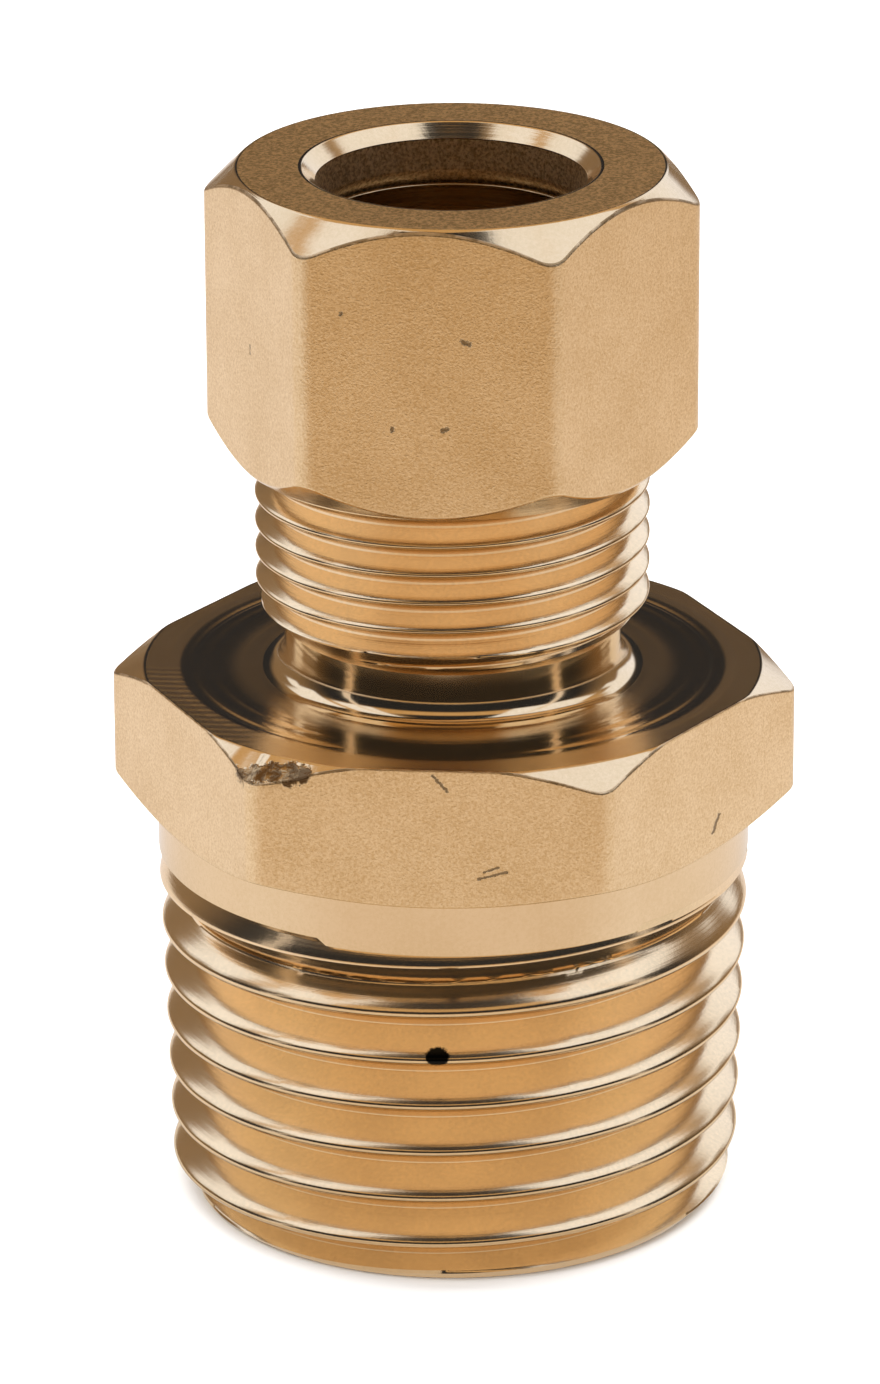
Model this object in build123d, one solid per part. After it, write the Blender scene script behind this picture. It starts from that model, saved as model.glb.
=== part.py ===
from build123d import *
import math
import os

# Straight brass compression adapter, in millimetres.
# Origin at the centre of the pipe end, +Z up the axis to the nut's mouth.

# Tube and the clearances around it, on the radius
tube_d = 9.525
socket_gap = 0.0375
sleeve_gap = 0.055
nut_hole_gap = 0.06

# Tapered pipe thread
pipe_pitch = 25.4 / 14
pipe_taper = 1 / 16
pipe_crest_d = 20.7
pipe_thread_depth = 1.2
pipe_root_flat = 0.12
pipe_thread_length = 13.1
pipe_thread_phase = 0.85
pipe_lead = 0.4

# Plain collar between the pipe thread and the hexagon
collar_d = 21.5
collar_length = 1.85

# Body hexagon
body_af = 21.7
body_hex_height = 5.23
body_corner_r = 1.0
body_top_circle_d = 22.34
body_top_angle = 30.5
body_bottom_angle = 24.5

# Neck under the compression thread
neck_d = 12.16
neck_length = 1.76
neck_fillet = 0.5

# Parallel compression thread
comp_pitch = 25.4 / 24
comp_crest_d = 14.2
comp_thread_depth = 0.65
comp_root_flat = 0.17
comp_thread_length = 9.69
comp_thread_phase = 0.116
comp_lead = 0.3
thread_angle = 60

# Clearances inside the compression thread
crest_gap = 0.12
flank_gap = 0.1

# How far a thread's ridge is rooted in the metal that carries it
ridge_root = 0.1

# Water way and tube socket
water_way_d = 7.9
water_way_chamfer = 0.4
socket_depth = 8.0

# Coned seats that squeeze the sleeve
seat_angle = 30
seat_gap = 0.1
mouth_margin = 0.25

# Sleeve
sleeve_wall = 0.7825
sleeve_length = 6.35
sleeve_end_wall = 0.2

# Nut
nut_af = 15.56
nut_height = 10.61
nut_corner_r = 1.0
nut_turn_at_rest = -1.75
nut_top_circle_d = 15.28
nut_top_angle = 44
nut_bottom_circle_d = 15.38
nut_bottom_angle = 42.8
nut_lip = 1.66
nut_mouth_chamfer = 0.493
nut_entry_chamfer = 0.2

# Radii that follow from these
tube_r = tube_d / 2
socket_r = tube_r + socket_gap
sleeve_bore_r = tube_r + sleeve_gap
nut_hole_r = tube_r + nut_hole_gap
sleeve_r = sleeve_bore_r + sleeve_wall
sleeve_end_r = sleeve_bore_r + sleeve_end_wall
water_way_r = water_way_d / 2
collar_r = collar_d / 2
neck_r = neck_d / 2
pipe_crest_r = pipe_crest_d / 2
comp_crest_r = comp_crest_d / 2
comp_root_r = comp_crest_r - comp_thread_depth
nut_minor_r = comp_root_r + crest_gap
nut_bore_r = comp_crest_r + crest_gap
mouth_r = sleeve_r + mouth_margin

# Heights that follow from these
collar_bottom = pipe_thread_length
collar_top = collar_bottom + collar_length
hex_top = collar_top + body_hex_height
thread_start = hex_top + neck_length
body_top = thread_start + comp_thread_length

# The sleeve sits in the body's cone, and the nut's cone sits on the sleeve
seat_slope = math.tan(math.radians(seat_angle))
seat_side_gap = seat_gap / math.cos(math.radians(seat_angle))
seat_touch_r = sleeve_end_r + seat_side_gap
socket_top = body_top - (mouth_r - socket_r) / seat_slope
tube_stop = socket_top - socket_depth
sleeve_bottom = body_top - (mouth_r - seat_touch_r) / seat_slope
sleeve_top = sleeve_bottom + sleeve_length
lip_bottom = sleeve_top + (seat_touch_r - nut_hole_r) / seat_slope
nut_top = lip_bottom + nut_lip
nut_bottom = nut_top - nut_height
nut_cone_bottom = lip_bottom - (nut_bore_r - nut_hole_r) / seat_slope

flank_slope = math.tan(math.radians(thread_angle / 2))
flank_side_gap = flank_gap / math.cos(math.radians(thread_angle / 2))
taper_slope = pipe_taper / 2


def turned(points):
    """Revolve a closed outline of (radius, height) points about the axis."""
    outline = Plane.XZ * make_face(Polyline(*points, close=True))
    return revolve(outline, Axis.Z)


def hex_bar(across_flats, corner_r, bottom, top, turn):
    """Hexagonal bar with rounded corners and two flats facing along Y."""
    apothem = across_flats / 2
    outline = RegularPolygon(apothem, 6, major_radius=False, rotation=turn)
    outline = fillet(outline.vertices(), corner_r)
    return Pos(0, 0, bottom) * extrude(outline, top - bottom)


def chamfer_envelope(bottom, top, bottom_r, bottom_angle, top_r, top_angle, reach):
    """Turned blank that cuts the corners of a hexagon at both ends."""
    bottom_rise = (reach - bottom_r) * math.tan(math.radians(bottom_angle))
    top_drop = (reach - top_r) * math.tan(math.radians(top_angle))
    return turned([
        (0, bottom),
        (bottom_r, bottom),
        (reach, bottom + bottom_rise),
        (reach, top - top_drop),
        (top_r, top),
        (0, top),
    ])


def thread_ridge(pitch, phase, low, high, inner, outer, cone_slope=0.0):
    """Thread ridge swept along a right-hand helix, kept between two heights.

    phase is the height of one of its turns over +Y.
    inner and outer are (radius, half width) of its section at height 0.
    """
    half = max(inner[1], outer[1])
    start = low + half
    start_turn = 90 + 360 * (start - phase) / pitch
    rise = start * cone_slope
    path = Helix(
        pitch, high - half - start, outer[0] + rise,
        cone_angle=math.degrees(math.atan(cone_slope)),
    )
    section = Plane.XZ * make_face(Polyline(
        (inner[0] + rise, -inner[1]),
        (outer[0] + rise, -outer[1]),
        (outer[0] + rise, outer[1]),
        (inner[0] + rise, inner[1]),
        close=True,
    ))
    return Pos(0, 0, start) * Rot(0, 0, start_turn) * sweep(section, path=path, is_frenet=True)


# Adapter body
hex_reach = body_af / math.sqrt(3)
pipe_root_r = pipe_crest_r - pipe_thread_depth
pipe_root_top = collar_bottom - (collar_r - pipe_root_r - collar_bottom * taper_slope) * flank_slope
body = turned([
    (0, 0),
    (pipe_root_r - pipe_lead, 0),
    (pipe_root_r + pipe_lead * taper_slope, pipe_lead),
    (pipe_root_r + pipe_root_top * taper_slope, pipe_root_top),
    (collar_r, collar_bottom),
    (collar_r, collar_top),
    (neck_r, collar_top),
    (neck_r, thread_start),
    (comp_root_r, thread_start + comp_root_r - neck_r),
    (comp_root_r, body_top - comp_lead),
    (comp_root_r - comp_lead, body_top),
    (0, body_top),
])
body_hex = hex_bar(body_af, body_corner_r, collar_top, hex_top, 0)
body_hex &= chamfer_envelope(
    collar_top, hex_top, collar_r, body_bottom_angle,
    body_top_circle_d / 2, body_top_angle, hex_reach,
)
body += body_hex
neck_corner = [
    edge for edge in body.edges().filter_by(GeomType.CIRCLE)
    if abs(edge.radius - neck_r) < 1e-6 and abs(edge.center().Z - hex_top) < 1e-6
]
body = fillet(neck_corner, neck_fillet)

body -= turned([
    (0, 0),
    (water_way_r + water_way_chamfer, 0),
    (water_way_r, water_way_chamfer),
    (water_way_r, tube_stop),
    (socket_r, tube_stop),
    (socket_r, socket_top),
    (mouth_r, body_top),
    (0, body_top),
])

pipe_base_half = (pipe_pitch - pipe_root_flat) / 2
pipe_crest_half = pipe_base_half - pipe_thread_depth * flank_slope
body += thread_ridge(
    pipe_pitch, pipe_thread_phase, 0, pipe_root_top,
    (pipe_root_r - ridge_root, pipe_base_half + ridge_root * flank_slope),
    (pipe_crest_r, pipe_crest_half),
    taper_slope,
)

comp_base_half = (comp_pitch - comp_root_flat) / 2
comp_crest_half = comp_base_half - comp_thread_depth * flank_slope
body += thread_ridge(
    comp_pitch, comp_thread_phase, thread_start, body_top,
    (comp_root_r - ridge_root, comp_base_half + ridge_root * flank_slope),
    (comp_crest_r, comp_crest_half),
)

# Compression sleeve
sleeve_taper = (sleeve_r - sleeve_end_r) / seat_slope
sleeve = turned([
    (sleeve_bore_r, sleeve_bottom),
    (sleeve_end_r, sleeve_bottom),
    (sleeve_r, sleeve_bottom + sleeve_taper),
    (sleeve_r, sleeve_top - sleeve_taper),
    (sleeve_end_r, sleeve_top),
    (sleeve_bore_r, sleeve_top),
])

# Compression nut
nut = hex_bar(nut_af, nut_corner_r, nut_bottom, nut_top, nut_turn_at_rest)
nut &= chamfer_envelope(
    nut_bottom, nut_top, nut_bottom_circle_d / 2, nut_bottom_angle,
    nut_top_circle_d / 2, nut_top_angle, nut_af / math.sqrt(3),
)
nut -= turned([
    (0, nut_bottom),
    (nut_bore_r + nut_entry_chamfer, nut_bottom),
    (nut_bore_r, nut_bottom + nut_entry_chamfer),
    (nut_bore_r, nut_cone_bottom),
    (nut_hole_r, lip_bottom),
    (nut_hole_r, nut_top - nut_mouth_chamfer),
    (nut_hole_r + nut_mouth_chamfer, nut_top),
    (0, nut_top),
])
nut_crest_half = comp_root_flat / 2 + crest_gap * flank_slope - flank_side_gap
nut_base_half = nut_crest_half + (nut_bore_r - nut_minor_r + ridge_root) * flank_slope
nut += thread_ridge(
    comp_pitch, comp_thread_phase + comp_pitch / 2,
    nut_bottom + nut_entry_chamfer, nut_cone_bottom,
    (nut_minor_r, nut_crest_half),
    (nut_bore_r + ridge_root, nut_base_half),
)

os.makedirs("parts", exist_ok=True)
pieces = {
    "adapter_body": body,
    "compression_sleeve": sleeve,
    "compression_nut": nut,
}
for name, piece in pieces.items():
    export_step(piece, f"parts/{name}.step")
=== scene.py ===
import math
from collections import namedtuple
from functools import cached_property

import bmesh
import bpy
import numpy as np
from mathutils import Matrix, Vector, noise


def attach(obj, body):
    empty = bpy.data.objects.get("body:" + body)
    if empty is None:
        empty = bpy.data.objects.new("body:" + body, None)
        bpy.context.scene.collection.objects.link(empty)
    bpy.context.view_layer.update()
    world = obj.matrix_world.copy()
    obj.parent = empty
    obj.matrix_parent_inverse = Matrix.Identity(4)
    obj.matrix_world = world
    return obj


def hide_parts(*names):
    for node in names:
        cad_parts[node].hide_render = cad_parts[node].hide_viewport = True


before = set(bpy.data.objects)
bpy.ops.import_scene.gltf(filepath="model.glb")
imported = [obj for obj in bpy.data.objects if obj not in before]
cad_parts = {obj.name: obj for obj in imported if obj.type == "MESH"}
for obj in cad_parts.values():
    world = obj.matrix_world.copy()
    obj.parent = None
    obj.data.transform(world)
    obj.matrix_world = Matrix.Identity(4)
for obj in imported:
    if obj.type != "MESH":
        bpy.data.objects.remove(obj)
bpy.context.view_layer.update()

# Brass compression adapter, in millimetres. Heights are above the pipe end and radii are from the axis.
# The three turned pieces are built as rows of points around the axis.

MM = 0.001
COS30 = math.cos(math.radians(30))


def slope(degrees):
    return math.tan(math.radians(degrees))


# Thread flanks and coned seats
FLANK_SLOPE = slope(30)
SEAT_SLOPE = slope(30)

# Tube and the clearances around it, on the radius
TUBE_R = 4.7625
SOCKET_GAP = 0.0375
SLEEVE_GAP = 0.055
NUT_HOLE_GAP = 0.06

# Tapered pipe thread with a chamfered foot, and the shares of its flank that have a row of points
PIPE_PITCH = 25.4 / 14
PIPE_PHASE = 0.85
PIPE_CREST = 10.35
PIPE_TAPER = 1 / 32
PIPE_DEPTH = 1.22
PIPE_ROOT_HALF = 0.02
PIPE_ROWS = (1, 0.86, 0.72, 0.58, 0.44, 0.32, 0.22, 0.14, 0.08, 0.03)
PIPE_FOOT_R = 9.45
FOOT_BLEND = 0.06
FOOT_EDGE = 0.05
FOOT_RISE = 0.03
FOOT_RIM = 1.0
PIPE_LOW = 0.04

# How round the crests of both outside threads are, as a share of the flank
CREST_ROUND = 0.24

# Last turn of the pipe thread, as the groove heights between which it changes
RIDGE_FADES = (10.6, 13.2)
RIDGE_LOSS = 0.6
GROOVE_FADES = (9.6, 12.2)
GROOVE_LOSS = 0.35
RUN_OUT_STARTS = (10.4, 11.2)
RUN_OUT_ENDS = (12.2, 12.6)
RUN_OUT_SLOPE = 1.12
CREST_SLOPE = 0.3
RUN_OUT_BLEND = 0.2
RUN_OUT_MIX = 0.4

# Collar, and the angles between which it reaches lower
COLLAR_R = 10.75
COLLAR_LOW = 13.1
COLLAR_LENGTH = 1.85
COLLAR_STEP = 0.25
COLLAR_STEP_FROM = math.radians(-112)
COLLAR_STEP_TO = math.radians(-47)
COLLAR_EDGE = 0.03
COLLAR_EDGE_RISE = 0.04
COLLAR_TOP_STRIP = 0.05

# Height of the body's hexagon
HEX_HEIGHT = 5.23

# Neck and compression thread, and the shares of its flank that have a row of points
NECK_R = 6.08
NECK_LENGTH = 1.76
NECK_FILLET = 0.8
NECK_FILLET_ROWS = 7
NECK_STRIP = 0.02
COMP_PITCH = 25.4 / 24
COMP_PHASE = 0.116
COMP_CREST = 7.1
COMP_DEPTH = 0.67
COMP_ROOT_HALF = 0.04
COMP_ROWS = (1, 0.8, 0.6, 0.42, 0.26, 0.14, 0.05)
COMP_LENGTH = 9.69
COMP_TOP_R = 6.15

# Inside of the body
WATER_WAY_R = 3.95
WATER_WAY_CHAMFER = 0.4
SOCKET_DEPTH = 8.0
MOUTH_MARGIN = 0.25
SEAT_GAP = 0.1

# Sleeve
SLEEVE_WALL = 0.7825
SLEEVE_END_WALL = 0.2
SLEEVE_LENGTH = 6.35
SLEEVE_END_ROUND = 0.05
SLEEVE_ROUND = 0.15
SLEEVE_BORE_END = 1.0
SLEEVE_COLUMNS = 128

# Nut
NUT_HEIGHT = 10.61
NUT_LIP = 1.66
NUT_LIP_ROUND = 0.03
NUT_MOUTH_CHAMFER = 0.493
NUT_MOUTH_ROUND = 0.05
NUT_BORE_GAP = 0.12
NUT_MINOR_R = 6.57
NUT_RIDGE_HALF = 0.0388
NUT_ENTRY = 0.2
NUT_RIM_IN = 0.04
NUT_RIM_OUT = 0.01
NUT_RIM_RISE = 0.02
NUT_FACE_FROM = 7.5
NUT_FACE_END = 0.12
NUT_FACE_STEP = 0.3
NUT_MOUTH_START = 0.1
NUT_HOLE_STRIP = 0.04
NUT_THREAD_GAP = 0.01

# Radii that follow from these
SOCKET_R = TUBE_R + SOCKET_GAP
SLEEVE_BORE = TUBE_R + SLEEVE_GAP
SLEEVE_R = SLEEVE_BORE + SLEEVE_WALL
SLEEVE_END = SLEEVE_BORE + SLEEVE_END_WALL
SEAT_TOUCH_R = SLEEVE_END + SEAT_GAP / COS30
MOUTH_R = SLEEVE_R + MOUTH_MARGIN
NUT_HOLE_R = TUBE_R + NUT_HOLE_GAP
NUT_MOUTH_R = NUT_HOLE_R + NUT_MOUTH_CHAMFER
NUT_BORE_R = COMP_CREST + NUT_BORE_GAP

# Heights that follow from these
COLLAR_TOP = COLLAR_LOW + COLLAR_LENGTH
HEX_TOP = COLLAR_TOP + HEX_HEIGHT
COMP_START = HEX_TOP + NECK_LENGTH
BODY_TOP = COMP_START + COMP_LENGTH
SOCKET_TOP = BODY_TOP - (MOUTH_R - SOCKET_R) / SEAT_SLOPE
TUBE_STOP = SOCKET_TOP - SOCKET_DEPTH
SLEEVE_LOW = BODY_TOP - (MOUTH_R - SEAT_TOUCH_R) / SEAT_SLOPE
SLEEVE_TOP = SLEEVE_LOW + SLEEVE_LENGTH
SLEEVE_TAPER = (SLEEVE_R - SLEEVE_END) / SEAT_SLOPE
NUT_LIP_LOW = SLEEVE_TOP + (SEAT_TOUCH_R - NUT_HOLE_R) / SEAT_SLOPE
NUT_TOP = NUT_LIP_LOW + NUT_LIP
NUT_LOW = NUT_TOP - NUT_HEIGHT
NUT_CONE_LOW = NUT_LIP_LOW - (NUT_BORE_R - NUT_HOLE_R) / SEAT_SLOPE

# Hexagons with rounded corners. A chamfer starts at a circle on each end
Hexagon = namedtuple("Hexagon", "apothem corner turn low low_circle low_slope top top_circle top_slope")
BODY_HEX = Hexagon(
    apothem=10.85, corner=1.0, turn=0.0,
    low=COLLAR_TOP, low_circle=COLLAR_R, low_slope=slope(24.5),
    top=HEX_TOP, top_circle=11.17, top_slope=slope(30.5),
)
NUT_HEX = Hexagon(
    apothem=7.78, corner=1.0, turn=math.radians(-1.75),
    low=NUT_LOW, low_circle=7.69, low_slope=slope(42.8),
    top=NUT_TOP, top_circle=7.64, top_slope=slope(44),
)

# Small rounding of the hexagons' edges, and how far its middle lies inside the sharp edge
EDGE = 0.07
EDGE_CUT = 0.2 * EDGE

# Turned rings on the body's top as (height, radians a millimetre, start), and grooves as (radius, depth)
RING_WAVES = ((0.003, 9.0, 0.0), (0.002, 23.0, 1.0))
RING_GROOVES = ((9.45, 0.035), (8.75, 0.02))
RING_GROOVE_HALF = 0.13
RINGS_FROM = 10.6
RING_STEP = 0.09
RING_SINK = 0.01
RING_BESIDE_FADE = (0.2, 0.8)

# Bruise along the body's left front corner: how far and deep it reaches, and how ragged it is
KNOCK_START = (-6.5, -10.1, 19.62)
KNOCK_END = (-4.6, -10.75, 19.95)
KNOCK_REACH = 0.55
KNOCK_DEPTH = 0.25
KNOCK_UNEVEN = 4
KNOCK_IN = 0.5
KNOCK_RAGGED = 0.16
KNOCK_STAIN_FADE = (0.5, 0.34)
KNOCK_BUMP = 0.05

# Chatter lines on the left of the body's top, and where they fade in
CHATTER_PITCH = 0.46
CHATTER_DEPTH = 0.0035
CHATTER_X_FADE = (-6.0, -7.0)
CHATTER_Y_FADE = (-0.5, -2.5)
CHATTER_RADIUS_FADE = (9.7, 9.9)

# Black spot on the pipe thread, with a ragged edge
SPOT = (0.25, -10.62, 9.24)
SPOT_FADE = (0.58, 0.48)
SPOT_RAGGED = 0.2

# Scratches and nicks on the flats as (start, end, half width)
SCRATCHES = (
    ((9.89, -4.57, 16.29), (9.70, -4.90, 15.77), 0.11),
    ((0.17, -10.85, 20.0), (0.66, -10.85, 19.45), 0.07),
    ((1.75, -10.85, 16.15), (2.75, -10.85, 16.45), 0.05),
    ((1.95, -10.85, 16.42), (2.45, -10.85, 16.6), 0.05),
    ((1.0, -7.82, 34.98), (1.25, -7.82, 34.86), 0.1),
    ((-1.46, -7.74, 31.64), (-1.44, -7.74, 31.7), 0.09),
    ((0.3, -7.8, 31.7), (0.45, -7.8, 31.74), 0.09),
    ((-3.25, -7.68, 35.8), (-3.2, -7.68, 35.88), 0.07),
    ((-6.82, -3.74, 33.0), (-6.82, -3.74, 33.3), 0.05),
)
SCRATCH_RAGGED = 0.4
SCRATCH_CORE = 0.4
SCRATCH_DEPTH = 0.03

# Colours of the brass and of what marks it
BRASS_LIGHT = (0.85, 0.66, 0.42, 1)
BRASS_DEEP = (0.79, 0.60, 0.36, 1)
BRASS_PALE = (0.94, 0.73, 0.46, 1)
BRASS_BRIGHT = (0.99, 0.78, 0.50, 1)
BRASS_SAND = (0.76, 0.54, 0.28, 1)
BRASS_DULL = (0.98, 0.72, 0.38, 1)
BRASS_DIM = (0.52, 0.36, 0.17, 1)
BURR_BROWN = (0.46, 0.32, 0.17, 1)
KNOCK_BROWN = (0.16, 0.10, 0.05, 1)
STAIN = (0.32, 0.23, 0.13, 1)
SOOT = (0.012, 0.012, 0.012, 1)

# Depth of the fine grain, the tones between which the colour changes, and what a noise mostly spans
GRAIN_DEPTH = 0.0012
TONE_FADE = (0.34, 0.66)
NOISE_SPAN = (0.3, 0.7)

# Share of the height that is added to the radius, so that turned rings run across any slope
RING_SLANT = 1.7

# Roughness of the body's top, from its rings to its rim and more by the neck
TOP_RIM_FADE = (9.75, 9.95)
TOP_RIM_ROUGH = (0.13, 0.27)
TOP_NECK_FADE = (8.4, 7.6)
TOP_NECK_ROUGH = 0.1

# Finishes, in the order of each piece's materials
DRAWN, TURNED, THREAD, INSIDE, COMP_THREAD, FACED, BURR, SMOOTH, TOP = range(9)

# Limits for joining points, dropping thin faces and keeping edges sharp, and the normals' weight
JOIN = 0.002
DEGENERATE = 0.001
SHARP = math.radians(40)
NORMAL_WEIGHT = 60


def add_object(name, data):
    made = bpy.data.objects.new(name, data)
    bpy.context.scene.collection.objects.link(made)
    return made


def smooth_step(low, high, x):
    t = np.clip((x - low) / (high - low), 0, 1)
    return t * t * (3 - 2 * t)


def soft_min(a, b, blend):
    """The lower of two surfaces, with the corner between them rounded."""
    h = np.clip(0.5 + 0.5 * (b - a) / blend, 0, 1)
    return b + (a - b) * h - blend * h * (1 - h)


def corner_centre(hexagon):
    """Radius at which a rounded corner has its centre."""
    return (hexagon.apothem - hexagon.corner) / COS30


def corner_half_angle(hexagon):
    """Half the angle that a rounded corner takes up, seen from the axis."""
    return math.atan2(hexagon.corner * 0.5, corner_centre(hexagon) + hexagon.corner * COS30)


def hex_radius(theta, hexagon):
    """Radius of a hexagon with rounded corners, at each angle."""
    off = np.mod(theta - hexagon.turn + math.pi / 6, math.pi / 3) - math.pi / 6
    centre = corner_centre(hexagon)
    flat = hexagon.apothem / np.cos(math.pi / 6 - np.abs(off))
    inside = np.maximum(hexagon.corner**2 - (centre * np.sin(off)) ** 2, 0)
    arc = centre * np.cos(off) + np.sqrt(inside)
    return np.where(np.abs(off) < corner_half_angle(hexagon), arc, flat)


def hex_columns(hexagon, flat_steps, corner_steps):
    """Angles around a hexagon, closer together at its corners."""
    half = corner_half_angle(hexagon)
    angles = []
    for side in range(6):
        corner = hexagon.turn + side * math.pi / 3
        flat_end = corner + math.pi / 3 - half
        angles += list(np.linspace(corner - half, corner + half, corner_steps, endpoint=False))
        angles += list(np.linspace(corner + half, flat_end, flat_steps, endpoint=False))
    angles.append(angles[0] + 2 * math.pi)
    return np.array(angles)


def thread_turns(theta, z, pitch, phase):
    """How many turns up the thread a point lies, whole numbers being on the ridge."""
    return (z - phase) / pitch - (theta - math.pi / 2) / (2 * math.pi)


def ridge_distance(theta, z, pitch, phase):
    """Height between a point and the middle of the nearest ridge."""
    turns = thread_turns(theta, z, pitch, phase)
    return np.abs(turns - np.round(turns)) * pitch


def helix_rows(theta, pitch, phase, low, high, offsets):
    """Heights of rows that follow a thread between two heights."""
    rise = phase + pitch * (theta - math.pi / 2) / (2 * math.pi)
    first = math.floor((low - rise.max()) / pitch) - 1
    last = math.ceil((high - rise.min()) / pitch) + 1
    rows = []
    for turn in range(first, last + 1):
        for offset in offsets:
            z = np.clip(rise + turn * pitch + offset, low, high)
            if z.max() > low and z.min() < high:
                rows.append(z)
    return rows


def thread_offsets(pitch, root_half, shares):
    """Row heights across one ridge, from the groove below it to the groove above."""
    half = pitch / 2 - root_half
    up = [pitch / 2] + [half * share for share in shares]
    return [-x for x in up] + [0] + up[:0:-1]


def ridge_fall(off, pitch, root_half):
    """How far the rounded ridge has fallen at a distance from its middle, 1 being the groove."""
    share = np.clip(off / (pitch / 2 - root_half), 0, 1)
    return (np.hypot(share, CREST_ROUND) - CREST_ROUND) / (math.hypot(1, CREST_ROUND) - CREST_ROUND)


def pipe_radius(theta, z):
    """Tapered thread that runs out into the collar on its last turn."""
    crest = np.minimum(PIPE_CREST + z * PIPE_TAPER, COLLAR_R)
    turns = thread_turns(theta, z, PIPE_PITCH, PIPE_PHASE) - 0.5
    above = (turns - np.floor(turns)) * PIPE_PITCH
    off = np.abs(above - PIPE_PITCH / 2)
    lower_groove = z - above
    groove = np.where(above < PIPE_PITCH / 2, lower_groove, lower_groove + PIPE_PITCH)
    fade = 1 - RIDGE_LOSS * smooth_step(*RIDGE_FADES, groove)
    ridge = crest - PIPE_DEPTH * fade * ridge_fall(off, PIPE_PITCH, PIPE_ROOT_HALF)
    to_groove = z - groove
    run_out = smooth_step(*RUN_OUT_STARTS, groove) * (1 - smooth_step(*RUN_OUT_ENDS, groove))
    steepness = CREST_SLOPE + (RUN_OUT_SLOPE - CREST_SLOPE) * run_out
    depth = PIPE_DEPTH * (1 - GROOVE_LOSS * smooth_step(*GROOVE_FADES, groove))
    gentle = crest - depth + to_groove / steepness
    rising = soft_min(ridge, gentle, RUN_OUT_BLEND)
    falling = -soft_min(-ridge, -gentle, RUN_OUT_BLEND)
    cut = np.where(to_groove > 0, rising, falling)
    radius = ridge + (cut - ridge) * smooth_step(0, RUN_OUT_MIX, run_out)
    return soft_min(radius, PIPE_FOOT_R + z, FOOT_BLEND)


def comp_radius(theta, z):
    """Parallel thread with a chamfer at both ends."""
    off = ridge_distance(theta, z, COMP_PITCH, COMP_PHASE)
    radius = COMP_CREST - COMP_DEPTH * ridge_fall(off, COMP_PITCH, COMP_ROOT_HALF)
    radius = np.minimum(radius, NECK_R + (z - COMP_START))
    return np.minimum(radius, COMP_TOP_R + (BODY_TOP - z))


def nut_thread_radius(theta, z):
    """Inside thread of the nut, half a turn off the body's ridge."""
    off = ridge_distance(theta, z, COMP_PITCH, COMP_PHASE + COMP_PITCH / 2)
    ridge = NUT_MINOR_R + np.maximum(off - NUT_RIDGE_HALF, 0) / FLANK_SLOPE
    return np.minimum(ridge, NUT_BORE_R)


def ring_wave(radius):
    """Height of the turned rings on the body's top, with the grooves that catch the light."""
    waves = sum(height * math.sin(radius * rate + start) for height, rate, start in RING_WAVES)
    for middle, depth in RING_GROOVES:
        waves -= depth * math.exp(-(((radius - middle) / RING_GROOVE_HALF) ** 2))
    return waves


def knocked_corner(points):
    """Crush the points along the bruised corner, by a different depth at each."""
    start = np.array(KNOCK_START)
    along = np.array(KNOCK_END) - start
    share = np.clip((points - start) @ along / (along @ along), 0, 1)
    gap = np.linalg.norm(points - start - share[:, None] * along, axis=1)
    crushed = points.copy()
    for i in np.nonzero(gap < KNOCK_REACH)[0]:
        uneven = max(0.5 + noise.noise(Vector(points[i]) * KNOCK_UNEVEN), 0)
        depth = KNOCK_DEPTH * uneven * (1 - gap[i] / KNOCK_REACH)
        crushed[i, 2] -= depth
        crushed[i, :2] *= 1 - KNOCK_IN * depth / BODY_HEX.apothem
    return crushed


def rounded(points, steps=3):
    """Round the corners of an open line of (radius, height, rounding) points."""
    line = []
    for i, (r, z, size) in enumerate(points):
        if size == 0:
            line.append((r, z))
            continue
        here = np.array((r, z))
        back = np.array(points[i - 1][:2]) - here
        ahead = np.array(points[i + 1][:2]) - here
        start = here + back / np.linalg.norm(back) * size
        end = here + ahead / np.linalg.norm(ahead) * size
        for t in np.linspace(0, 1, steps + 1):
            line.append(tuple((1 - t) ** 2 * start + 2 * t * (1 - t) * here + t * t * end))
    return line


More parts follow.
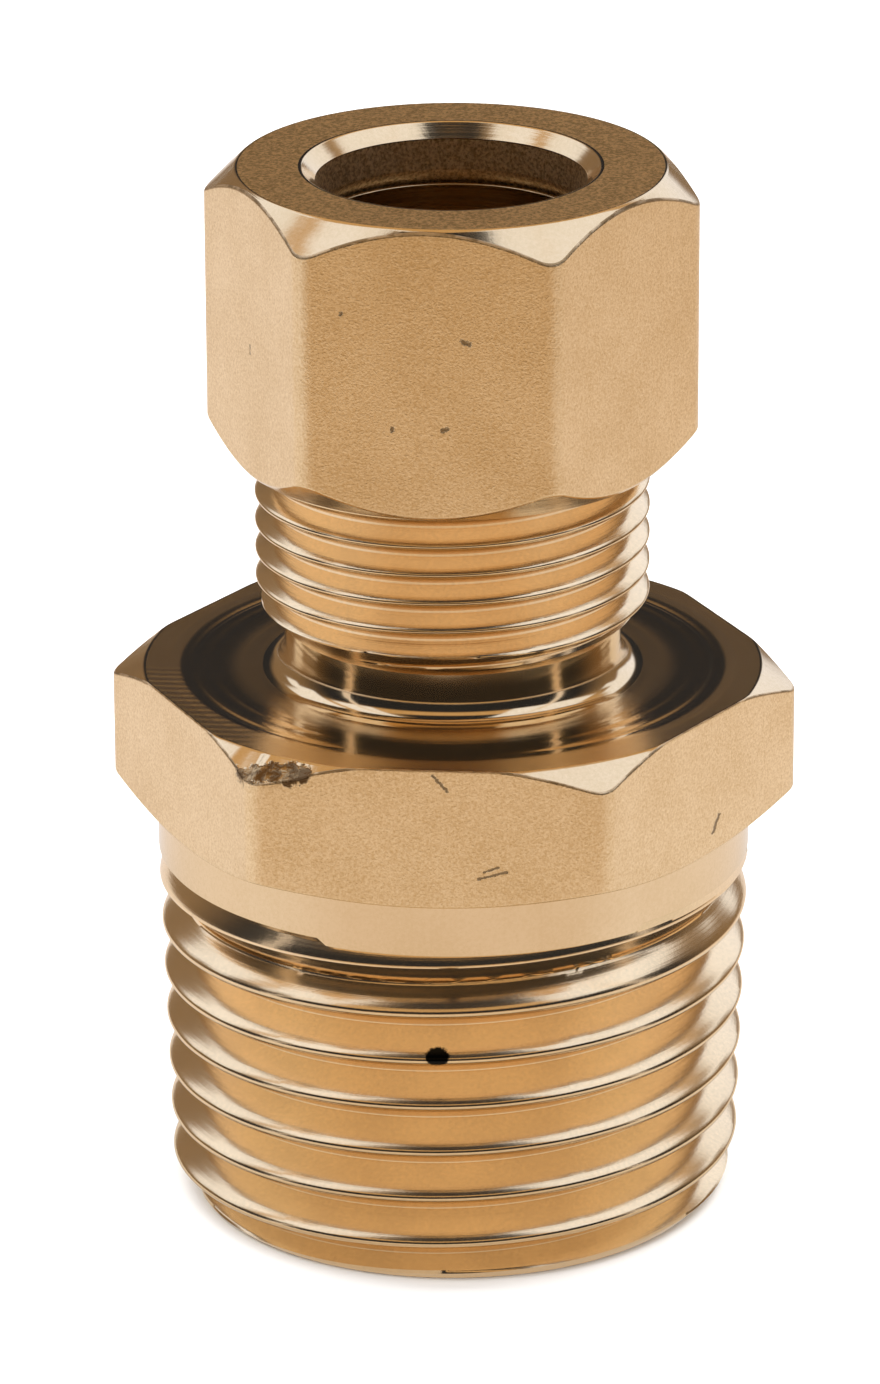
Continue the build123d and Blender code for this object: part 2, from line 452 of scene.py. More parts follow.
class Skin:
    """Rows of points around the axis, joined into one closed surface."""

    def __init__(self, columns):
        self.columns = columns
        self.radii = []
        self.heights = []
        self.finishes = []

    def row(self, radius, height, finish):
        """Add a row. finish is that of the strip between it and the next row."""
        shape = self.columns.shape
        self.radii.append(np.broadcast_to(np.asarray(radius, float), shape))
        self.heights.append(np.broadcast_to(np.asarray(height, float), shape))
        self.finishes.append(finish)

    def line(self, points, finish):
        for radius, height in points:
            self.row(radius, height, finish)

    def hexagon(self, hexagon, flat_rows, face):
        """Outside of a hexagon, from its lower chamfer to its upper face, with small edges between."""
        radius = hex_radius(self.columns, hexagon)
        top = hexagon.top
        circle = hexagon.top_circle

        def cap(r):
            return top - np.maximum(r - circle, 0) * hexagon.top_slope

        low = hexagon.low + (radius - hexagon.low_circle) * hexagon.low_slope
        self.row(radius - EDGE, low - EDGE * hexagon.low_slope, TURNED)
        self.row(radius - EDGE_CUT, low + EDGE_CUT, DRAWN)
        flat_low = low + EDGE
        flat_high = cap(radius) - EDGE
        for i in range(flat_rows + 1):
            self.row(radius, flat_low + (flat_high - flat_low) * i / flat_rows, DRAWN)
        self.row(radius - EDGE_CUT, cap(radius) - EDGE_CUT, BURR)
        # The last rows stay a little apart where the chamfer narrows to nothing
        for r in (radius - EDGE, np.minimum(radius - 1.2 * EDGE, circle + EDGE)):
            self.row(r, cap(r), TURNED)
        drop = 0.15 * EDGE * (radius > circle + EDGE)
        self.row(np.minimum(radius - 1.4 * EDGE, circle), top - drop, TURNED)
        self.row(np.minimum(radius - 1.6 * EDGE, circle - EDGE), top, face)

    def mesh(self, name, shape=None):
        """Closed mesh of the rows. shape moves the points, as (n, 3) millimetres."""
        radii = np.array(self.radii)
        x = radii * np.cos(self.columns)
        y = radii * np.sin(self.columns)
        points = np.stack([x, y, np.array(self.heights)], axis=-1).reshape(-1, 3)
        if shape:
            points = shape(points)
        rows, columns = radii.shape
        index = np.arange(rows * columns).reshape(rows, columns)
        after = np.roll(index, -1, axis=0)
        quads = np.stack([index[:, :-1], index[:, 1:], after[:, 1:], after[:, :-1]], axis=-1)
        finish = np.repeat(np.array(self.finishes), columns - 1)
        mesh = bpy.data.meshes.new(name)
        mesh.from_pydata(points.tolist(), [], quads.reshape(-1, 4).tolist())
        mesh.polygons.foreach_set("material_index", finish.astype(np.int32))
        work = bmesh.new()
        work.from_mesh(mesh)
        bmesh.ops.remove_doubles(work, verts=work.verts, dist=JOIN)
        bmesh.ops.dissolve_degenerate(work, edges=work.edges, dist=DEGENERATE)
        for face in work.faces:
            face.smooth = True
        work.to_mesh(mesh)
        work.free()
        mesh.set_sharp_from_angle(angle=SHARP)
        for material in FINISHES:
            mesh.materials.append(material)
        return mesh

    def build(self, name, shape=None):
        """Make the object. Its normals are weighed in millimetres, then its mesh is brought to metres."""
        piece = add_object(name, self.mesh(name, shape))
        weigh = piece.modifiers.new("weighted_normals", "WEIGHTED_NORMAL")
        weigh.mode = "FACE_AREA"
        weigh.weight = NORMAL_WEIGHT
        weigh.keep_sharp = True
        ready = piece.evaluated_get(bpy.context.evaluated_depsgraph_get())
        piece.data = bpy.data.meshes.new_from_object(ready)
        piece.modifiers.clear()
        piece.data.name = name
        piece.data.transform(Matrix.Scale(MM, 4))
        return piece


class Nodes:
    """Short calls for building the nodes of a material or the world."""

    def __init__(self, owner):
        owner.use_nodes = True
        self.tree = owner.node_tree
        self.tree.nodes.clear()

    def add(self, kind, inputs=None, **settings):
        made = self.tree.nodes.new(kind)
        for key, value in settings.items():
            setattr(made, key, value)
        for key, value in (inputs or {}).items():
            if isinstance(value, bpy.types.NodeSocket):
                self.tree.links.new(value, made.inputs[key])
            else:
                made.inputs[key].default_value = value
        return made

    def math(self, operation, a, b=0.0, clamp=False):
        made = self.add("ShaderNodeMath", {0: a, 1: b}, operation=operation)
        made.use_clamp = clamp
        return made.outputs[0]

    def blend(self, a, share_a, b, share_b):
        """Sum of two values, each times its share."""
        return self.math("ADD", self.math("MULTIPLY", a, share_a), self.math("MULTIPLY", b, share_b))

    def vector(self, operation, a, b=(0, 0, 0)):
        return self.add("ShaderNodeVectorMath", {0: a, 1: b}, operation=operation).outputs[0]

    def dot(self, a, b):
        return self.add("ShaderNodeVectorMath", {0: a, 1: b}, operation="DOT_PRODUCT").outputs["Value"]

    def length(self, vector):
        return self.add("ShaderNodeVectorMath", {0: vector}, operation="LENGTH").outputs["Value"]

    def scaled(self, vector, scale):
        return self.add("ShaderNodeVectorMath", {0: vector, "Scale": scale}, operation="SCALE").outputs[0]

    def split(self, vector):
        return self.add("ShaderNodeSeparateXYZ", {0: vector}).outputs

    def noise(self, vector, scale, detail=2.0, rough=0.5):
        inputs = {"Vector": vector, "Scale": scale, "Detail": detail, "Roughness": rough}
        return self.add("ShaderNodeTexNoise", inputs).outputs[0]

    def line_noise(self, value, scale, detail=2.0):
        inputs = {"W": value, "Scale": scale, "Detail": detail}
        return self.add("ShaderNodeTexNoise", inputs, noise_dimensions="1D").outputs[0]

    def ramp(self, value, low, high, out_low=0.0, out_high=1.0):
        inputs = {0: value, 1: low, 2: high, 3: out_low, 4: out_high}
        return self.add("ShaderNodeMapRange", inputs, interpolation_type="SMOOTHSTEP").outputs[0]

    def band(self, value, low, high, soft):
        """1 between two values, fading to 0 outside them."""
        rise = self.ramp(value, low - soft / 2, low + soft / 2)
        fall = self.ramp(value, high + soft / 2, high - soft / 2)
        return self.math("MULTIPLY", rise, fall)

    def mix(self, factor, a, b):
        inputs = {0: factor, 6: a, 7: b}
        return self.add("ShaderNodeMix", inputs, data_type="RGBA").outputs[2]

    def line_distance(self, place, start, end):
        """Distance from the straight line between two points."""
        along = Vector(end) - Vector(start)
        off = self.vector("SUBTRACT", place, start)
        share = self.math("DIVIDE", self.dot(off, along), along.length_squared, clamp=True)
        return self.length(self.vector("SUBTRACT", off, self.scaled(along, share)))


class Brass(Nodes):
    """A brass material. A finish presses tool marks into it, paints it and stains it.

    Its places and patterns become nodes when a finish first asks for them.
    """

    def __init__(self, name):
        self.material = bpy.data.materials.new(name)
        super().__init__(self.material)
        metres = self.add("ShaderNodeTexCoord").outputs["Object"]
        self.place = self.vector("MULTIPLY", metres, (1 / MM, 1 / MM, 1 / MM))
        self.colour = None
        self.normal = None

    @cached_property
    def axes(self):
        return self.split(self.place)

    @cached_property
    def radius(self):
        return self.length(self.vector("MULTIPLY", self.place, (1, 1, 0)))

    @cached_property
    def slant(self):
        return self.math("ADD", self.radius, self.math("MULTIPLY", self.axes[2], RING_SLANT))

    @cached_property
    def cloud(self):
        return self.noise(self.place, scale=0.35, detail=3.0)

    @cached_property
    def grain(self):
        return self.noise(self.place, scale=7.0, rough=0.7)

    @cached_property
    def specks(self):
        return self.noise(self.place, scale=8.0, rough=0.7)

    @cached_property
    def tone(self):
        return self.blend(self.cloud, 0.5, self.grain, 0.5)

    def press(self, height, depth):
        """Add a bump of some depth on top of the bumps so far."""
        inputs = {"Height": height, "Distance": depth * MM, "Strength": 1.0}
        if self.normal is not None:
            inputs["Normal"] = self.normal
        self.normal = self.add("ShaderNodeBump", inputs).outputs[0]

    def paint(self, light, deep):
        """Colour the brass by its tone."""
        self.colour = self.mix(self.ramp(self.tone, *TONE_FADE), deep, light)

    def stain(self, share, colour):
        self.colour = self.mix(share, self.colour, colour)

    def scratch(self, start, end, width):
        """Ragged brown scratch along a line."""
        spread = SCRATCH_RAGGED * width
        ragged = self.ramp(self.grain, *NOISE_SPAN, -spread, spread)
        away = self.math("ADD", self.line_distance(self.place, start, end), ragged)
        mark = self.ramp(away, width, width * SCRATCH_CORE)
        self.stain(mark, STAIN)
        self.press(self.math("SUBTRACT", 1.0, mark), SCRATCH_DEPTH)

    def bruise(self):
        """Crumbled brown patch along the bruised corner."""
        crumbs = self.noise(self.place, scale=2.6, detail=3.0, rough=0.6)
        away = self.line_distance(self.place, KNOCK_START, KNOCK_END)
        ragged = self.math("ADD", away, self.ramp(crumbs, *NOISE_SPAN, -KNOCK_RAGGED, KNOCK_RAGGED))
        knock = self.ramp(ragged, *KNOCK_STAIN_FADE)
        self.stain(knock, self.mix(self.ramp(crumbs, 0.4, 0.62), KNOCK_BROWN, BURR_BROWN))
        self.press(self.math("MULTIPLY", knock, crumbs), KNOCK_BUMP)

    def finish(self, roughness):
        shader = self.add("ShaderNodeBsdfPrincipled", {
            "Base Color": self.colour, "Metallic": 1.0, "Roughness": roughness, "Normal": self.normal,
        })
        self.add("ShaderNodeOutputMaterial", {"Surface": shader.outputs[0]})
        return self.material


def drawn_brass():
    """Flats of the bar: sandy, with faint streaks along it, scratched and bruised."""
    brass = Brass("brass_drawn")
    streaks = brass.noise(brass.vector("MULTIPLY", brass.place, (5, 5, 0.25)), scale=1.0, detail=3.0)
    sand = brass.noise(brass.place, scale=11.0, rough=0.8)
    brass.tone = brass.blend(brass.tone, 0.4, sand, 0.6)
    brass.press(sand, depth=0.016)
    brass.press(streaks, depth=0.0015)
    brass.paint(BRASS_BRIGHT, BRASS_SAND)
    for start, end, width in SCRATCHES:
        brass.scratch(start, end, width)
    brass.bruise()
    return brass.finish(roughness=0.32)


def turned_brass():
    """Chamfers, ends and the sleeve, with turned rings."""
    brass = Brass("brass_turned")
    brass.press(brass.grain, GRAIN_DEPTH)
    brass.press(brass.line_noise(brass.slant, scale=2.2, detail=3.0), depth=0.006)
    brass.paint(BRASS_LIGHT, BRASS_DEEP)
    brass.bruise()
    return brass.finish(roughness=0.14)


def threaded_brass(name, pitch, phase):
    """Thread with fine tool marks along its flanks. The marks' seam lies in the groove."""
    brass = Brass(name)
    x, y, height = brass.axes
    turns = brass.math("DIVIDE", brass.math("SUBTRACT", height, phase), pitch)
    share = brass.math("DIVIDE", brass.math("ARCTAN2", y, x), 2 * math.pi)
    across = brass.math("FRACT", brass.math("ADD", brass.math("SUBTRACT", turns, share), 0.75))
    brass.press(brass.grain, GRAIN_DEPTH)
    brass.press(brass.line_noise(across, scale=14.0, detail=3.0), depth=0.004)
    brass.press(brass.specks, depth=0.0015)
    brass.paint(BRASS_PALE, BRASS_LIGHT)
    return brass


def pipe_thread_brass():
    """Pipe thread with the black spot."""
    brass = threaded_brass("brass_pipe_thread", PIPE_PITCH, PIPE_PHASE)
    away = brass.length(brass.vector("SUBTRACT", brass.place, SPOT))
    ragged = brass.math("ADD", away, brass.math("MULTIPLY", brass.grain, SPOT_RAGGED))
    brass.stain(brass.ramp(ragged, *SPOT_FADE), SOOT)
    return brass.finish(roughness=0.18)


def comp_thread_brass():
    brass = threaded_brass("brass_compression_thread", COMP_PITCH, COMP_PHASE)
    return brass.finish(roughness=0.18)


def inside_brass():
    """Bores: speckled and rough, with turned rings."""
    brass = Brass("brass_inside")
    brass.tone = brass.specks
    brass.press(brass.grain, GRAIN_DEPTH)
    brass.press(brass.line_noise(brass.slant, scale=4.5, detail=3.0), depth=0.008)
    brass.press(brass.specks, depth=0.02)
    brass.paint(BRASS_PALE, BRASS_DIM)
    return brass.finish(roughness=0.5)


def faced_brass():
    """Nut's top: speckled and dull, scuffed across."""
    brass = Brass("brass_faced")
    scuffs = brass.noise(brass.vector("MULTIPLY", brass.place, (0.6, 4, 1)), scale=1.0, detail=3.0)
    brass.tone = brass.specks
    brass.press(brass.grain, depth=0.006)
    brass.press(scuffs, depth=0.006)
    brass.press(brass.specks, depth=0.014)
    brass.paint(BRASS_DULL, BRASS_DIM)
    return brass.finish(roughness=0.44)


def burr_brass():
    """Burrs along the hexagons' upper edges, brown in patches."""
    brass = Brass("brass_burr")
    patches = brass.noise(brass.place, scale=1.6, detail=3.0)
    brass.tone = brass.ramp(patches, 0.38, 0.62, out_low=0.36, out_high=0.7)
    brass.press(brass.grain, GRAIN_DEPTH)
    brass.paint(BRASS_LIGHT, BURR_BROWN)
    brass.bruise()
    return brass.finish(roughness=0.4)


def smooth_brass():
    """Collar and neck, almost without tool marks."""
    brass = Brass("brass_smooth")
    brass.press(brass.cloud, depth=0.0004)
    brass.paint(BRASS_LIGHT, BRASS_DEEP)
    return brass.finish(roughness=0.11)


def body_top_brass():
    """Top of the body's hexagon: rings, chatter lines on the left, rougher at its rim and by the neck."""
    brass = Brass("brass_body_top")
    brass.press(brass.grain, GRAIN_DEPTH)
    brass.press(brass.line_noise(brass.radius, scale=2.2, detail=3.0), depth=0.004)
    brass.press(brass.specks, depth=0.003)
    x, y = brass.axes[:2]
    chatter = brass.math("SINE", brass.math("MULTIPLY", y, 2 * math.pi / CHATTER_PITCH))
    for value, fade in ((x, CHATTER_X_FADE), (y, CHATTER_Y_FADE), (brass.radius, CHATTER_RADIUS_FADE)):
        chatter = brass.math("MULTIPLY", chatter, brass.ramp(value, *fade))
    brass.press(chatter, CHATTER_DEPTH)
    brass.paint(BRASS_LIGHT, BRASS_DEEP)
    brass.bruise()
    rim = brass.ramp(brass.radius, *TOP_RIM_FADE, *TOP_RIM_ROUGH)
    by_neck = brass.ramp(brass.radius, *TOP_NECK_FADE, out_high=TOP_NECK_ROUGH)
    return brass.finish(roughness=brass.math("ADD", rim, by_neck))


FINISHES = [
    drawn_brass(),
    turned_brass(),
    pipe_thread_brass(),
    inside_brass(),
    comp_thread_brass(),
    faced_brass(),
    burr_brass(),
    smooth_brass(),
    body_top_brass(),
]


def pipe_thread_rows(skin):
    theta = skin.columns
    foot = pipe_radius(theta, np.zeros_like(theta))
    skin.row(foot - FOOT_RIM, 0, TURNED)
    skin.row(foot - FOOT_EDGE, 0, THREAD)
    skin.row(foot, FOOT_RISE, THREAD)
    offsets = thread_offsets(PIPE_PITCH, PIPE_ROOT_HALF, PIPE_ROWS)
    for z in helix_rows(theta, PIPE_PITCH, PIPE_PHASE, PIPE_LOW, COLLAR_LOW, offsets):
        skin.row(pipe_radius(theta, z), z, THREAD)


def collar_rows(skin):
    wrapped = np.mod(skin.columns + math.pi, 2 * math.pi) - math.pi
    in_step = (wrapped > COLLAR_STEP_FROM) & (wrapped < COLLAR_STEP_TO)
    low = COLLAR_LOW + np.where(in_step, 0, COLLAR_STEP)
    skin.row(COLLAR_R - COLLAR_EDGE, low, SMOOTH)
    skin.row(COLLAR_R, low + COLLAR_EDGE_RISE, SMOOTH)
    skin.row(COLLAR_R, COLLAR_TOP - COLLAR_TOP_STRIP, SMOOTH)
    skin.row(COLLAR_R, COLLAR_TOP, TURNED)


def body_top_rows(skin):
    """Rings on the hexagon's top, deeper to the left and right, and the fillet up to the neck."""
    beside = smooth_step(*RING_BESIDE_FADE, np.abs(np.cos(skin.columns)))
    for radius in np.arange(RINGS_FROM, NECK_R + NECK_FILLET, -RING_STEP):
        skin.row(radius, HEX_TOP + ring_wave(radius) * beside - RING_SINK, TOP)
    for turn in np.linspace(0, math.pi / 2, NECK_FILLET_ROWS):
        radius = NECK_R + NECK_FILLET * (1 - math.sin(turn))
        skin.row(radius, HEX_TOP + NECK_FILLET * (1 - math.cos(turn)), SMOOTH)
    skin.row(NECK_R, COMP_START - NECK_STRIP, SMOOTH)


def comp_thread_rows(skin):
    theta = skin.columns
    offsets = thread_offsets(COMP_PITCH, COMP_ROOT_HALF, COMP_ROWS)
    for z in helix_rows(theta, COMP_PITCH, COMP_PHASE, COMP_START, BODY_TOP, offsets):
        skin.row(comp_radius(theta, z), z, COMP_THREAD)
    skin.row(COMP_TOP_R, BODY_TOP, TURNED)


def build_body():
    skin = Skin(hex_columns(BODY_HEX, flat_steps=30, corner_steps=6))
    skin.row(WATER_WAY_R + WATER_WAY_CHAMFER, 0, TURNED)
    pipe_thread_rows(skin)
    collar_rows(skin)
    skin.hexagon(BODY_HEX, flat_rows=12, face=TOP)
    body_top_rows(skin)
    comp_thread_rows(skin)
    skin.line([
        (MOUTH_R, BODY_TOP),
        (SOCKET_R, SOCKET_TOP),
        (SOCKET_R, TUBE_STOP),
        (WATER_WAY_R, TUBE_STOP),
        (WATER_WAY_R, WATER_WAY_CHAMFER),
    ], INSIDE)
    return skin.build("body_brass_skin", knocked_corner)


def nut_thread_rows(skin):
    """Inside thread, from the cone down to the entry."""
    theta = skin.columns
    base = NUT_RIDGE_HALF + (NUT_BORE_R - NUT_MINOR_R) * FLANK_SLOPE
    offsets = [-COMP_PITCH / 2, -base, -base / 2, -NUT_RIDGE_HALF, NUT_RIDGE_HALF, base / 2, base]
    phase = COMP_PHASE + COMP_PITCH / 2
    low = NUT_LOW + NUT_ENTRY
    high = NUT_CONE_LOW - NUT_THREAD_GAP
    rows = helix_rows(theta, COMP_PITCH, phase, low, high, offsets)
    for z in reversed(rows):
        skin.row(nut_thread_radius(theta, z), z, INSIDE)


def build_nut():
    skin = Skin(hex_columns(NUT_HEX, flat_steps=26, corner_steps=8))
    skin.row(NUT_BORE_R + NUT_ENTRY, NUT_LOW, TURNED)
    skin.row(NUT_HEX.low_circle - NUT_RIM_IN, NUT_LOW, TURNED)
    skin.row(NUT_HEX.low_circle + NUT_RIM_OUT, NUT_LOW + NUT_RIM_RISE, TURNED)
    skin.hexagon(NUT_HEX, flat_rows=16, face=FACED)
    for radius in np.arange(NUT_FACE_FROM, NUT_MOUTH_R + NUT_FACE_END, -NUT_FACE_STEP):
        skin.row(radius, NUT_TOP, FACED)
    hole_top = NUT_TOP - NUT_MOUTH_CHAMFER
    skin.line(rounded([
        (NUT_MOUTH_R + NUT_MOUTH_START, NUT_TOP, 0),
        (NUT_MOUTH_R, NUT_TOP, NUT_MOUTH_ROUND),
        (NUT_HOLE_R, hole_top, 0),
    ]), TURNED)
    skin.line(rounded([
        (NUT_HOLE_R, hole_top - NUT_HOLE_STRIP, 0),
        (NUT_HOLE_R, NUT_LIP_LOW, NUT_LIP_ROUND),
        (NUT_BORE_R, NUT_CONE_LOW, 0),
    ]), INSIDE)
    nut_thread_rows(skin)
    return skin.build("nut_brass_skin")


def build_sleeve():
    skin = Skin(np.linspace(0, 2 * math.pi, SLEEVE_COLUMNS + 1))
    skin.line(rounded([
        (SLEEVE_BORE, SLEEVE_LOW + SLEEVE_BORE_END, 0),
        (SLEEVE_BORE, SLEEVE_LOW, SLEEVE_END_ROUND),
        (SLEEVE_END, SLEEVE_LOW, SLEEVE_END_ROUND),
        (SLEEVE_R, SLEEVE_LOW + SLEEVE_TAPER, SLEEVE_ROUND),
        (SLEEVE_R, SLEEVE_TOP - SLEEVE_TAPER, SLEEVE_ROUND),
        (SLEEVE_END, SLEEVE_TOP, SLEEVE_END_ROUND),
        (SLEEVE_BORE, SLEEVE_TOP, SLEEVE_END_ROUND),
        (SLEEVE_BORE, SLEEVE_TOP - SLEEVE_BORE_END, 0),
    ]), TURNED)
    return skin.build("sleeve_brass_skin")


for make, body, node, slot in (
    (build_body, "body", "adapter_body", "body_brass"),
    (build_nut, "nut", "compression_nut", "nut_brass"),
    (build_sleeve, "sleeve", "compression_sleeve", "sleeve_brass"),
):
    piece = make()
    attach(piece, body)
    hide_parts(node)

# Camera at the photo's viewing angle
CAMERA_TURN = math.radians(4.75)
CAMERA_RISE = math.radians(21.02)
CAMERA_ROLL = math.radians(-0.24)
CAMERA_DISTANCE = 281.16
CAMERA_HEIGHT = 18.98
CAMERA_ASIDE = -0.47
FOCAL_PIXELS = 7757
PHOTO_HEIGHT = 1384
SENSOR = 36

# Floor and lamps, in metres and degrees. The lamps light the floor and aren't reflected
FLOOR_HALF = 1.5
FLOOR_PAINT = (0.9, 0.9, 0.9, 1)
LAMPS = (("softbox_left", -60), ("softbox_right", 60), ("softbox_front", 180))
LAMP_RISE = 50
LAMP_DISTANCE = 0.6
LAMP_SIZE = 0.5
LAMP_POWER = 3.0
LAMP_AIM = Vector((0, 0, 0.02))

# Strength of the white background as light, where it isn't seen or reflected
SKY_LEVEL = 0.55

# Colours of the tent and the floor card
WARM = (0.64, 0.43, 0.22, 1)
BROWN = (0.26, 0.18, 0.11, 1)
DARK = (0.026, 0.028, 0.034, 1)
WHITE = (1.03, 1.10, 1.30, 1)
PALE = (0.93, 0.86, 0.84, 1)
# SHADE is painted shade: the floor card's colour close to the piece, standing in for its shadow
SHADE = (0.82, 0.76, 0.70, 1)

# Tent in metres, and directions on it in degrees, seen from the piece.
# Azimuth 0 is behind the piece and 90 to its right, and aside is azimuth without its sign.
# A pair named FADE is where a zone starts and where it is full, and a pair named BAND its two ends.
TENT_R = 1.2
BROWN_RISE_FADE = (48, 28)
BEHIND_ASIDE_FADE = (24, 12)
BEHIND_RISE_BAND = (8, 30)
FRONT_ASIDE_FADE = (105, 140)
FRONT_RISE_FADE = (44, 34)
FRONT_RISE_BAND = (57, 78)
SIDES_ASIDE_FADE = (52, 92)
SIDES_RISE_FADE = (42, 34)
ZONE_EDGE = 6
# Softboxes as (azimuth from, to, elevation from, to)
SOFTBOXES = (
    (45, 136, 48, 80),
    (57, 136, 38, 52),
    (17, 44, 8, 38),
    (40, 56, 24, 31),
    (-118, -80, 40, 80),
    (-71, -45, 26, 54),
    (-54, -41, 19, 30),
    (-50, -28, 32, 48),
)
SOFT_EDGE = 4
SLITS = (-105, 105)
SLIT_WIDTH_FADE = (3.5, 2)
SLIT_RISE_FADE = (70, 50)

# Floor card in metres, with its zones by azimuth and by distance from the axis
CARD_R = 0.9
CARD_LIFT = 0.05 * MM
CARD_FRONT_FADE = (110, 150)
CARD_FRONT_AWAY_FADE = (0.06, 0.1)
CARD_FRONT_WARMTH = (0.34, 0.95)
CARD_RIGHT_FADE = (20, 60)
CARD_RIGHT_AWAY_FADE = (0.035, 0.12)
CARD_RIGHT_WARMTH = 0.5
# Distances from the axis of the painted shade and the painted brown contact shadow around the piece
CARD_SHADE_FADE = (0.040, 0.030)
CARD_CONTACT_SHADOW_FADE = (0.0155, 0.0125)
CARD_CONTACT_SHADOW_SHARE = 0.35
CARD_FAR_FADE = (0.2, 0.4)


def add_camera():
    right = Vector((math.cos(CAMERA_TURN), math.sin(CAMERA_TURN), 0))
    toward = Vector((
        math.sin(CAMERA_TURN) * math.cos(CAMERA_RISE),
        -math.cos(CAMERA_TURN) * math.cos(CAMERA_RISE),
        math.sin(CAMERA_RISE),
    ))
    target = right * CAMERA_ASIDE + Vector((0, 0, CAMERA_HEIGHT))
    data = bpy.data.cameras.new("camera")
    data.sensor_width = SENSOR
    data.lens = FOCAL_PIXELS * SENSOR / PHOTO_HEIGHT
    data.clip_start = 0.01
    data.clip_end = 10
    camera = add_object("camera", data)
    camera.location = (target + toward * CAMERA_DISTANCE) * MM
    turn = (-toward).to_track_quat("-Z", "Y").to_matrix() @ Matrix.Rotation(CAMERA_ROLL, 3, "Z")
    camera.rotation_euler = turn.to_euler()
    bpy.context.scene.camera = camera


def add_floor():
    """Plain pale floor."""
    material = bpy.data.materials.new("floor")
    nodes = Nodes(material)
    paint = nodes.add("ShaderNodeBsdfDiffuse", {"Color": FLOOR_PAINT})
    nodes.add("ShaderNodeOutputMaterial", {"Surface": paint.outputs[0]})
    mesh = bpy.data.meshes.new("floor")
    corners = [(x * FLOOR_HALF, y * FLOOR_HALF, 0) for x, y in ((-1, -1), (1, -1), (1, 1), (-1, 1))]
    mesh.from_pydata(corners, [], [(0, 1, 2, 3)])
    mesh.materials.append(material)
    floor = add_object("floor", mesh)


def add_lamp(name, azimuth):
    """Square lamp aimed at the piece. Azimuth 0 is behind it, seen from the camera, and 90 to its right."""
    turn = math.radians(azimuth) - CAMERA_TURN
    rise = math.radians(LAMP_RISE)
    way = Vector((math.sin(turn) * math.cos(rise), math.cos(turn) * math.cos(rise), math.sin(rise)))
    data = bpy.data.lights.new(name, "AREA")
    data.shape = "SQUARE"
    data.size = LAMP_SIZE
    data.energy = LAMP_POWER
    lamp = add_object(name, data)
    lamp.location = way * LAMP_DISTANCE + LAMP_AIM
    lamp.rotation_euler = (-way).to_track_quat("-Z", "Y").to_euler()
    lamp.visible_glossy = False


class Glow(Nodes):
    """Light of the tent or the floor card, by its direction from the piece."""

    def __init__(self, name):
        self.material = bpy.data.materials.new(name)
        super().__init__(self.material)
        self.place = self.add("ShaderNodeTexCoord").outputs["Object"]
        x, y = self.split(self.place)[:2]
        self.azimuth = self.math("DEGREES", self.math("ARCTAN2", x, y))
        self.aside = self.math("ABSOLUTE", self.azimuth)

    def finish(self, colour):
        shader = self.add("ShaderNodeEmission", {"Color": colour, "Strength": 1.0})
        self.add("ShaderNodeOutputMaterial", {"Surface": shader.outputs[0]})
        return self.material


def tent_material():
    """Warm above, brown below, dark behind, in front and low at the sides, with white softboxes."""
    nodes = Glow("tent")
    rise = nodes.split(nodes.vector("NORMALIZE", nodes.place))[2]
    elevation = nodes.math("DEGREES", nodes.math("ARCSINE", rise))
    behind = nodes.math(
        "MULTIPLY",
        nodes.ramp(nodes.aside, *BEHIND_ASIDE_FADE),
        nodes.band(elevation, *BEHIND_RISE_BAND, ZONE_EDGE),
    )
    front = nodes.ramp(nodes.aside, *FRONT_ASIDE_FADE)
    front_dark = nodes.math(
        "MAXIMUM",
        nodes.ramp(elevation, *FRONT_RISE_FADE),
        nodes.band(elevation, *FRONT_RISE_BAND, ZONE_EDGE),
    )
    in_front = nodes.math("MULTIPLY", front, front_dark)
    low_sides = nodes.math(
        "MULTIPLY",
        nodes.ramp(nodes.aside, *SIDES_ASIDE_FADE),
        nodes.ramp(elevation, *SIDES_RISE_FADE),
    )
    colour = nodes.mix(nodes.ramp(elevation, *BROWN_RISE_FADE), WARM, BROWN)
    colour = nodes.mix(front, colour, WARM)
    for zone in (behind, in_front, low_sides):
        colour = nodes.mix(zone, colour, DARK)
    for left, right, low, high in SOFTBOXES:
        across = nodes.band(nodes.azimuth, left, right, SOFT_EDGE)
        box = nodes.math("MULTIPLY", across, nodes.band(elevation, low, high, SOFT_EDGE))
        colour = nodes.mix(box, colour, WHITE)
    for middle in SLITS:
        near = nodes.math("ABSOLUTE", nodes.math("SUBTRACT", nodes.azimuth, middle))
        across = nodes.ramp(near, *SLIT_WIDTH_FADE)
        slit = nodes.math("MULTIPLY", across, nodes.ramp(elevation, *SLIT_RISE_FADE))
        colour = nodes.mix(slit, colour, PALE)
    return nodes.finish(colour)


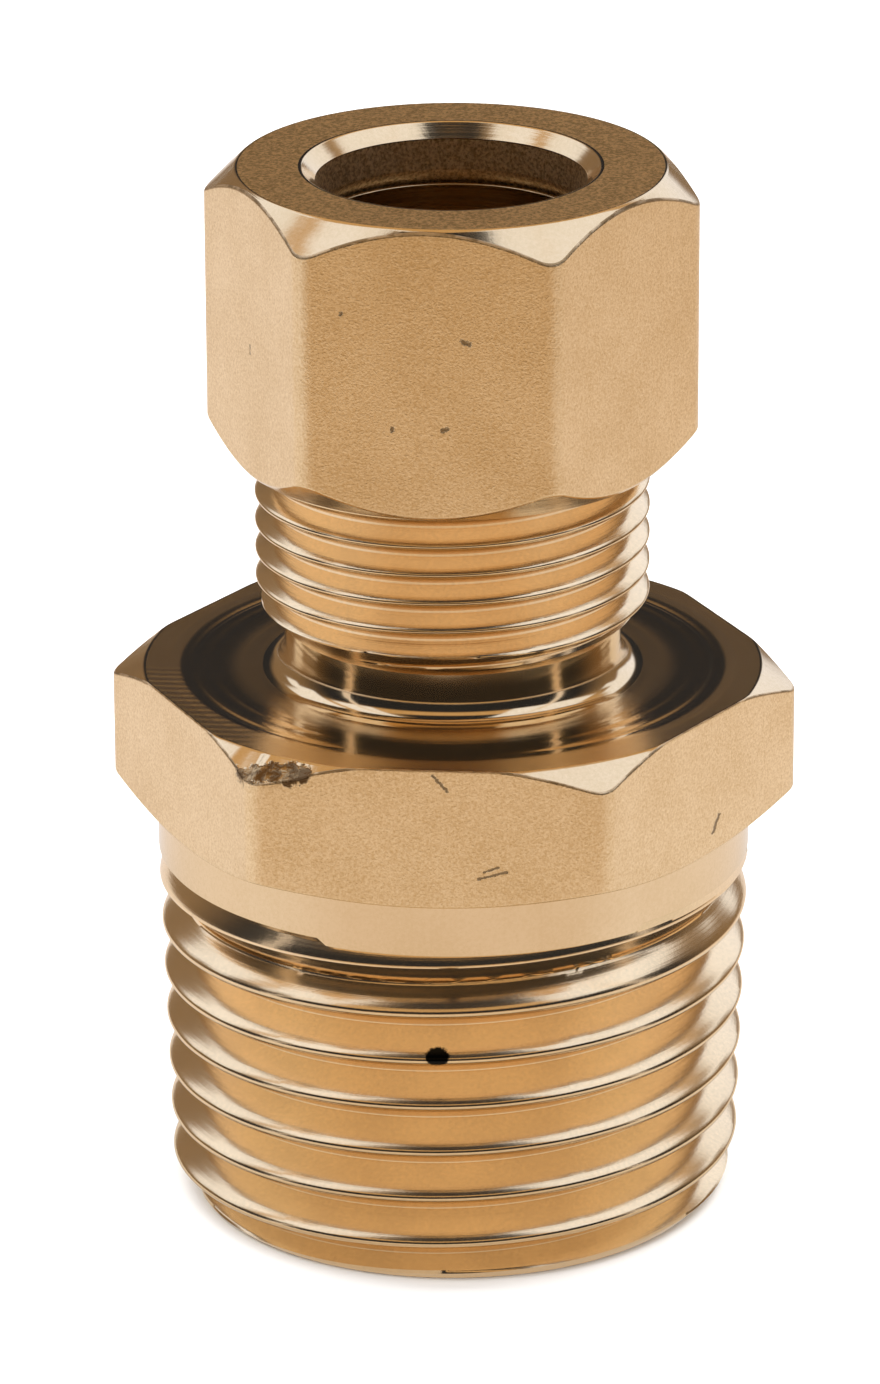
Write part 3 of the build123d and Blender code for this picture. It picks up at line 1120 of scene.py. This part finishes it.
def card_material():
    """Pale beside and behind the piece, warm towards the camera and to the right, with painted shade and a
    painted brown contact shadow close around the piece.
    """
    nodes = Glow("floor_card")
    away = nodes.length(nodes.place)
    warm_front = nodes.math(
        "MULTIPLY",
        nodes.ramp(nodes.aside, *CARD_FRONT_FADE),
        nodes.ramp(away, *CARD_FRONT_AWAY_FADE, *CARD_FRONT_WARMTH),
    )
    warm_right = nodes.math(
        "MULTIPLY",
        nodes.ramp(nodes.azimuth, *CARD_RIGHT_FADE),
        nodes.ramp(away, *CARD_RIGHT_AWAY_FADE),
    )
    warm = nodes.math("MAXIMUM", warm_front, nodes.math("MULTIPLY", warm_right, CARD_RIGHT_WARMTH))
    # Painted shade: the card turns darker close to the axis, in place of the piece's shadow on the floor
    colour = nodes.mix(nodes.ramp(away, *CARD_SHADE_FADE), PALE, SHADE)
    colour = nodes.mix(warm, colour, WARM)
    # Painted contact shadow: brown mixed in right around the piece's foot
    colour = nodes.mix(nodes.ramp(away, *CARD_CONTACT_SHADOW_FADE, out_high=CARD_CONTACT_SHADOW_SHARE), colour, BROWN)
    return nodes.finish(nodes.mix(nodes.ramp(away, *CARD_FAR_FADE), colour, BROWN))


def add_reflected(name, material, make, **size):
    """Add one of bmesh's simple shapes that is seen only in the piece's reflections."""
    work = bmesh.new()
    make(work, **size)
    mesh = bpy.data.meshes.new(name)
    work.to_mesh(mesh)
    work.free()
    mesh.materials.append(material)
    piece = add_object(name, mesh)
    piece.rotation_euler = (0, 0, CAMERA_TURN)
    piece.visible_camera = False
    piece.visible_diffuse = False
    piece.visible_shadow = False
    piece.visible_transmission = False
    return piece


def add_world():
    """White background where it is seen or reflected, soft even light for everything else."""
    world = bpy.data.worlds.new("world")
    bpy.context.scene.world = world
    nodes = Nodes(world)
    path = nodes.add("ShaderNodeLightPath").outputs
    seen = nodes.math("MAXIMUM", path["Is Camera Ray"], path["Is Glossy Ray"])
    seen = nodes.math("MAXIMUM", seen, path["Is Transmission Ray"])
    level = nodes.ramp(seen, 0.0, 1.0, out_low=SKY_LEVEL)
    sky = nodes.add("ShaderNodeBackground", {"Color": (1, 1, 1, 1), "Strength": level})
    nodes.add("ShaderNodeOutputWorld", {"Surface": sky.outputs[0]})


add_camera()
add_floor()
for name, azimuth in LAMPS:
    add_lamp(name, azimuth)
sphere = bmesh.ops.create_uvsphere
add_reflected("tent", tent_material(), sphere, u_segments=48, v_segments=24, radius=TENT_R)
disc = bmesh.ops.create_circle
card = add_reflected("floor_card", card_material(), disc, cap_ends=True, segments=64, radius=CARD_R)
card.location = (0, 0, CARD_LIFT)
add_world()

bpy.context.scene.view_settings.view_transform = "Standard"
